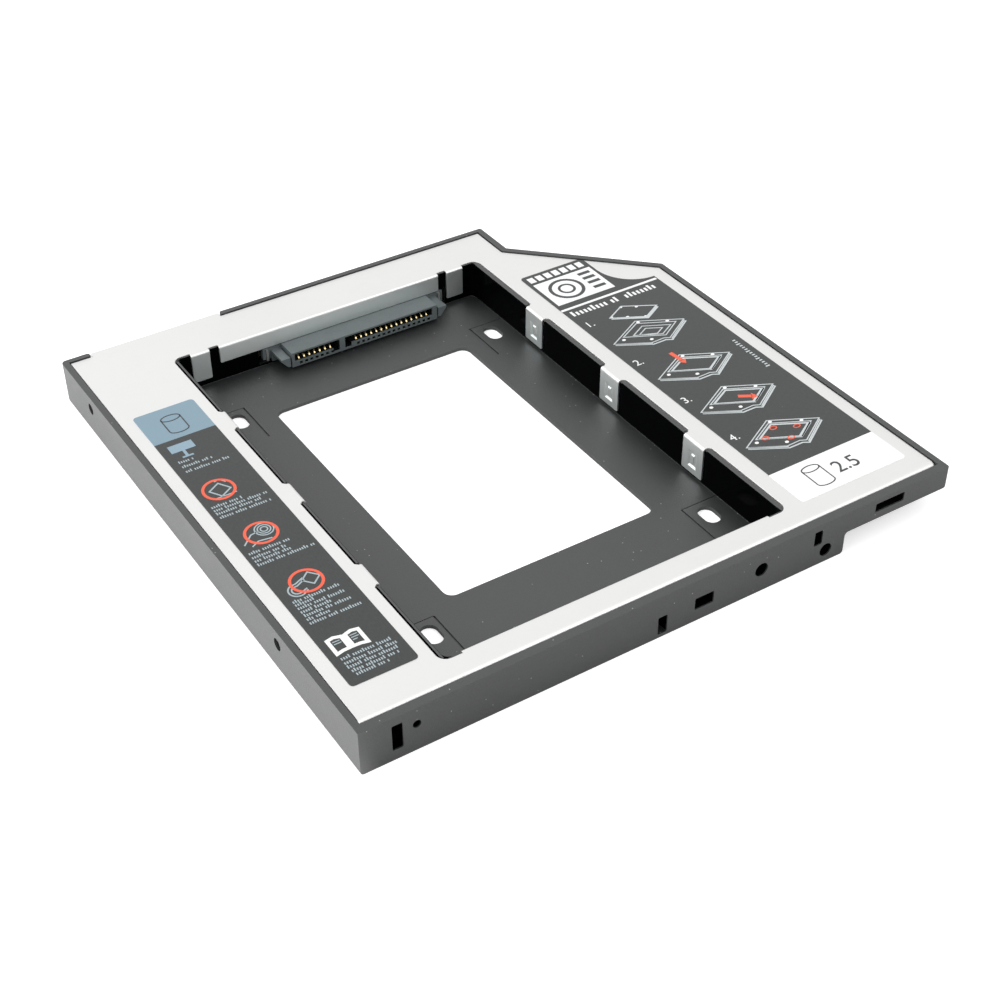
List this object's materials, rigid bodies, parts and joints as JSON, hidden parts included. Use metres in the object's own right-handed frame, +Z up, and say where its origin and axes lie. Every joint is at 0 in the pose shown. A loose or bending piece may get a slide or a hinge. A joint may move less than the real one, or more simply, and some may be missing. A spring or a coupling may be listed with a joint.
{
  "type": "laptop drive caddy",
  "caption": "Slim caddy the size of a laptop optical drive: black plastic frame with an open bay, folded aluminium cover with tabs, labels, a drive receptacle inside and a plug at the rear.",
  "frame": {"origin": "middle of the underside, on the surface that the caddy rests on", "axes": "+X to the right along the front, +Y to the rear where the plug is, +Z up through the cover"},
  "size_m": [0.128, 0.1262, 0.0095],
  "materials": {
    "frame_plastic": "black moulded plastic with a fine spark texture outside and gloss on the bay walls",
    "cover_metal": "satin silver aluminium sheet",
    "label_film": "printed film, dark grey, satin",
    "board_laminate": "very dark green solder mask",
    "connector_plastic": "blue grey moulded connector plastic",
    "contact_gold": "gold plated spring contacts",
    "clip_steel": "tinned steel clip",
    "screw_steel": "plated steel screw",
    "capacitor_ceramic": "tan ceramic with tinned ends",
    "resistor_ceramic": "black film with tinned ends"
  },
  "bodies": {
    "root": {"board_capacitor_1": "capacitor_ceramic", "board_capacitor_2": "capacitor_ceramic", "board_capacitor_3": "capacitor_ceramic", "board_resistor_1": "resistor_ceramic", "board_resistor_2": "resistor_ceramic", "board_resistor_3": "resistor_ceramic", "board_resistor_4": "resistor_ceramic", "board_screws": "screw_steel", "circuit_board": "board_laminate", "cover": "cover_metal", "drive_receptacle": "connector_plastic", "frame": "frame_plastic", "left_label": "label_film", "plug_power_contact_1": "contact_gold", "plug_power_contact_2": "contact_gold", "plug_power_contact_3": "contact_gold", "plug_power_contact_4": "contact_gold", "plug_power_contact_5": "contact_gold", "plug_power_contact_6": "contact_gold", "plug_signal_contact_1": "contact_gold", "plug_signal_contact_2": "contact_gold", "plug_signal_contact_3": "contact_gold", "plug_signal_contact_4": "contact_gold", "plug_signal_contact_5": "contact_gold", "plug_signal_contact_6": "contact_gold", "plug_signal_contact_7": "contact_gold", "rear_plug": "connector_plastic", "receptacle_clip_left": "clip_steel", "receptacle_clip_right": "clip_steel", "receptacle_power_contact_1": "contact_gold", "receptacle_power_contact_10": "contact_gold", "receptacle_power_contact_11": "contact_gold", "receptacle_power_contact_12": "contact_gold", "receptacle_power_contact_13": "contact_gold", "receptacle_power_contact_14": "contact_gold", "receptacle_power_contact_15": "contact_gold", "receptacle_power_contact_2": "contact_gold", "receptacle_power_contact_3": "contact_gold", "receptacle_power_contact_4": "contact_gold", "receptacle_power_contact_5": "contact_gold", "receptacle_power_contact_6": "contact_gold", "receptacle_power_contact_7": "contact_gold", "receptacle_power_contact_8": "contact_gold", "receptacle_power_contact_9": "contact_gold", "receptacle_signal_contact_1": "contact_gold", "receptacle_signal_contact_2": "contact_gold", "receptacle_signal_contact_3": "contact_gold", "receptacle_signal_contact_4": "contact_gold", "receptacle_signal_contact_5": "contact_gold", "receptacle_signal_contact_6": "contact_gold", "receptacle_signal_contact_7": "contact_gold", "right_label": "label_film"}
  },
  "joints": []
}
